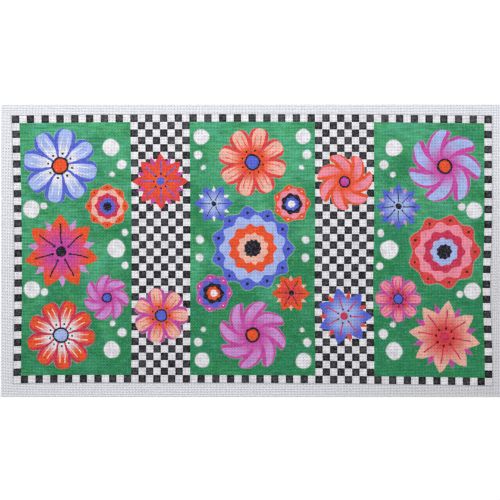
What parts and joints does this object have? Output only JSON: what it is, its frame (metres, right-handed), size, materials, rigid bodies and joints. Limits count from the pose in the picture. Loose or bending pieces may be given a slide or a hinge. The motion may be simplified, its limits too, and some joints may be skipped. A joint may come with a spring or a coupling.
{
  "type": "needlepoint canvas panel",
  "caption": "Flat rectangular panel of open-weave mono canvas, painted face up with a check border and flowers on green, ready to be stitched.",
  "frame": {"origin": "middle of the underside, on the surface that the canvas lies on", "axes": "+X along the long side, to the right of the design, +Y up the design, +Z out of the painted face"},
  "size_m": [0.4752, 0.2786, 0.001],
  "materials": {
    "painted_canvas": "open-weave white cotton mono canvas, stiffened and hand painted on its face: matt green ground, black and white squares, bright flowers, bare white margins"
  },
  "bodies": {
    "root": {"canvas": "painted_canvas"}
  },
  "joints": []
}
